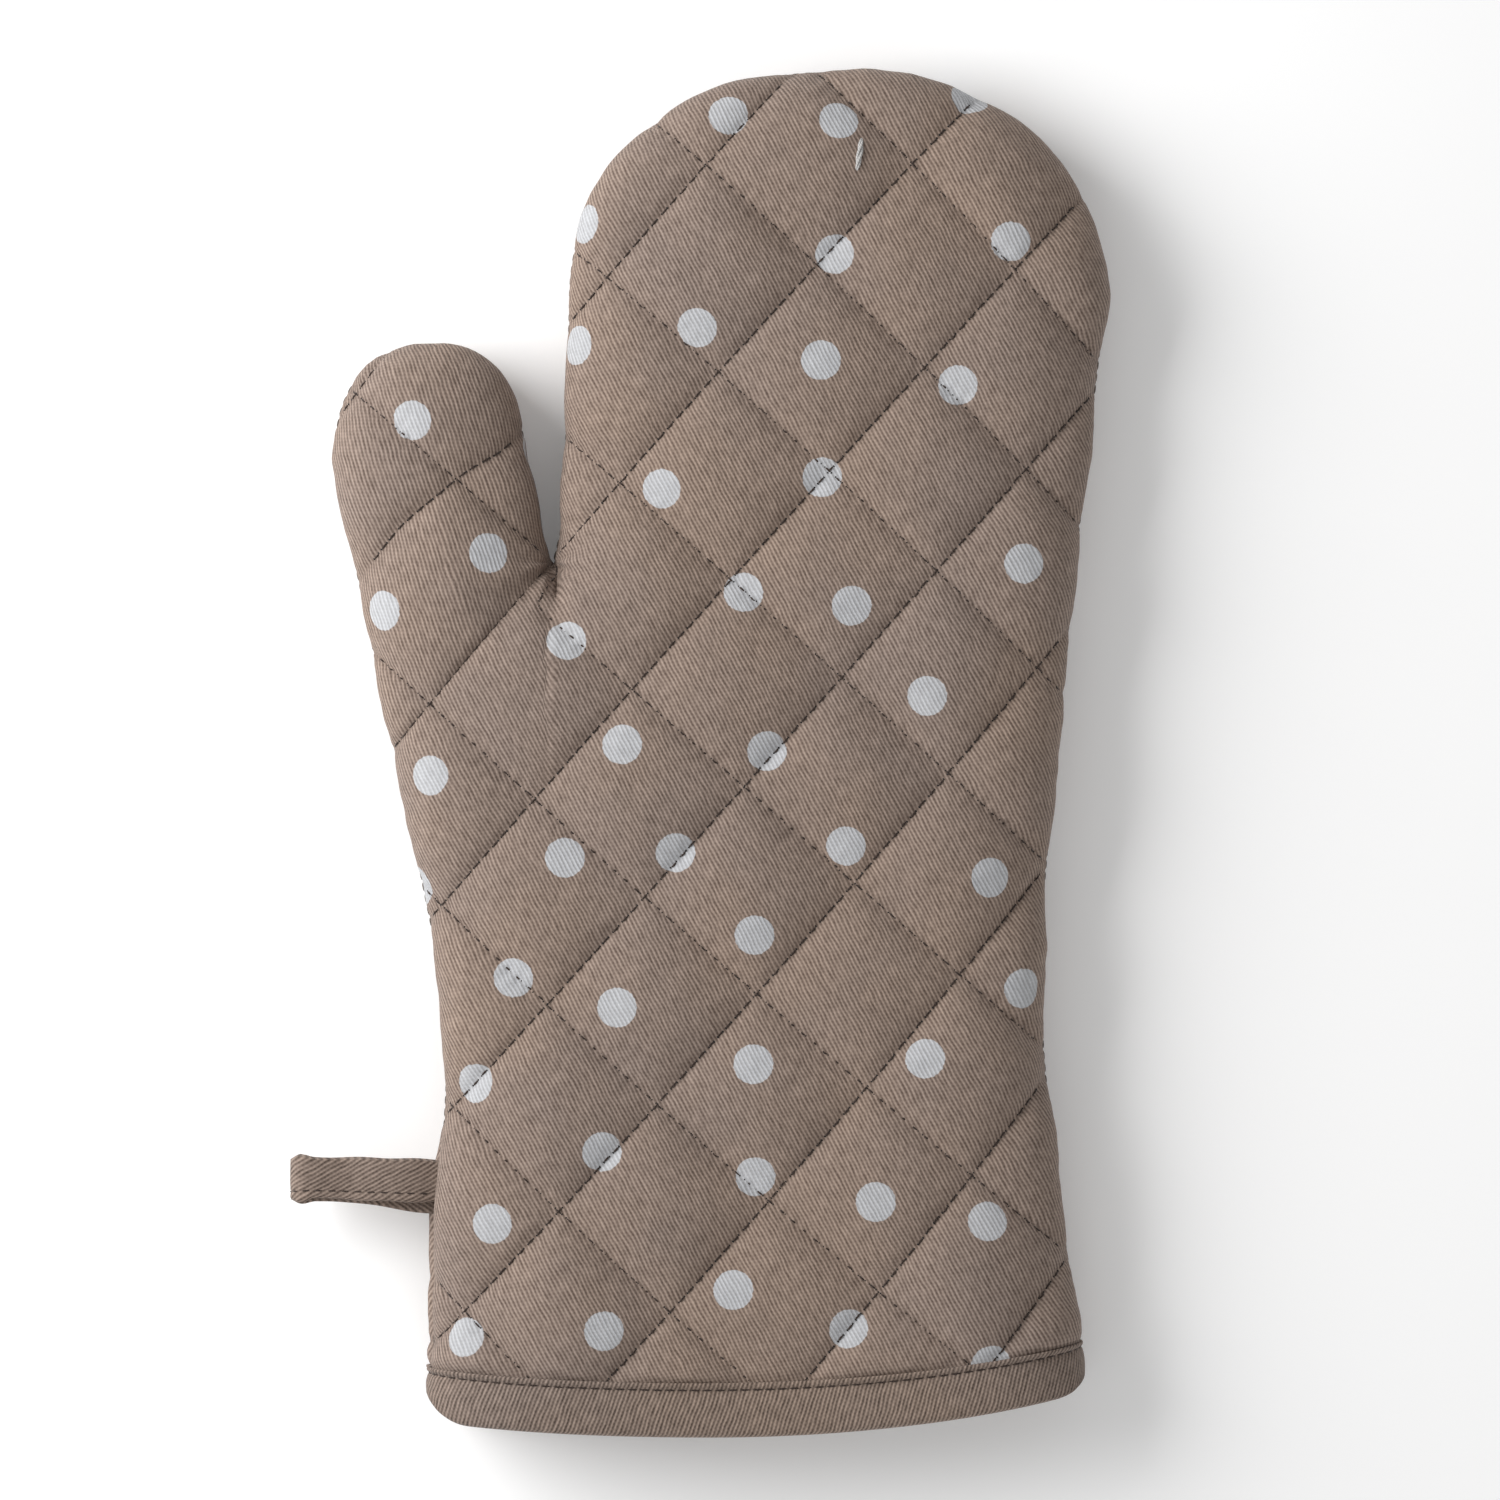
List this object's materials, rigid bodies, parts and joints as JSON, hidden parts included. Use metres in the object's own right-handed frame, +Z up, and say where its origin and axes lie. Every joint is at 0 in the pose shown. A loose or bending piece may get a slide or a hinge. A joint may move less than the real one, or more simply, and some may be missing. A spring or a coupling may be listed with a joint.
{
  "type": "oven mitt",
  "caption": "Quilted oven mitt with a separate thumb, padded and lined panels, a bound cuff and a hanging loop on its side seam.",
  "frame": {"origin": "middle of the bounding box on the surface that the mitt lies on", "axes": "+Y from the cuff to the fingertips, +Z up out of the palm side, +X from the thumb side to the little finger side"},
  "size_m": [0.1934, 0.32, 0.0352],
  "materials": {
    "printed_cover": "matt cotton twill, taupe with a pale grey dot print",
    "wadding": "soft needled wadding",
    "lining": "matt plain-weave cotton",
    "plain_tape": "matt cotton twill tape, plain taupe",
    "dark_thread": "twisted sewing thread, dark brown",
    "pale_thread": "twisted thread, pale grey"
  },
  "bodies": {
    "palm": {"front_cover_palm": "printed_cover", "front_wadding_palm": "wadding", "front_lining_palm": "lining", "back_cover_palm": "printed_cover", "back_wadding_palm": "wadding", "back_lining_palm": "lining", "side_seam_outer_edge": "dark_thread", "side_seam_crotch": "dark_thread", "side_seam_inner_edge": "dark_thread", "cuff_binding": "plain_tape", "binding_stitch": "dark_thread"},
    "fingers": {"front_cover_fingers": "printed_cover", "front_wadding_fingers": "wadding", "front_lining_fingers": "lining", "back_cover_fingers": "printed_cover", "back_wadding_fingers": "wadding", "back_lining_fingers": "lining", "side_seam_fingers": "dark_thread", "tack_stitch": "pale_thread"},
    "thumb": {"front_cover_thumb": "printed_cover", "front_wadding_thumb": "wadding", "front_lining_thumb": "lining", "back_cover_thumb": "printed_cover", "back_wadding_thumb": "wadding", "back_lining_thumb": "lining", "side_seam_thumb": "dark_thread"},
    "loop": {"hanging_loop": "plain_tape", "loop_stitch": "dark_thread"}
  },
  "joints": [
    {"name": "finger_fold", "type": "hinge", "parent": "palm", "child": "fingers", "pos_m": [0.03144, 0.075, 0.0144], "axis": [1, 0, 0], "range_deg": [0, 70], "stiffness_Nm_per_rad": 0.05},
    {"name": "thumb_fold", "type": "hinge", "parent": "palm", "child": "thumb", "pos_m": [-0.04806, 0.0588, 0.0144], "axis": [0.7071, 0.7071, 0], "range_deg": [0, 50], "stiffness_Nm_per_rad": 0.02},
    {"name": "loop_swing", "type": "hinge", "parent": "palm", "child": "loop", "pos_m": [-0.06386, -0.102, 0.0144], "axis": [0, 1, 0], "range_deg": [-18, 75], "stiffness_Nm_per_rad": 0.002}
  ]
}
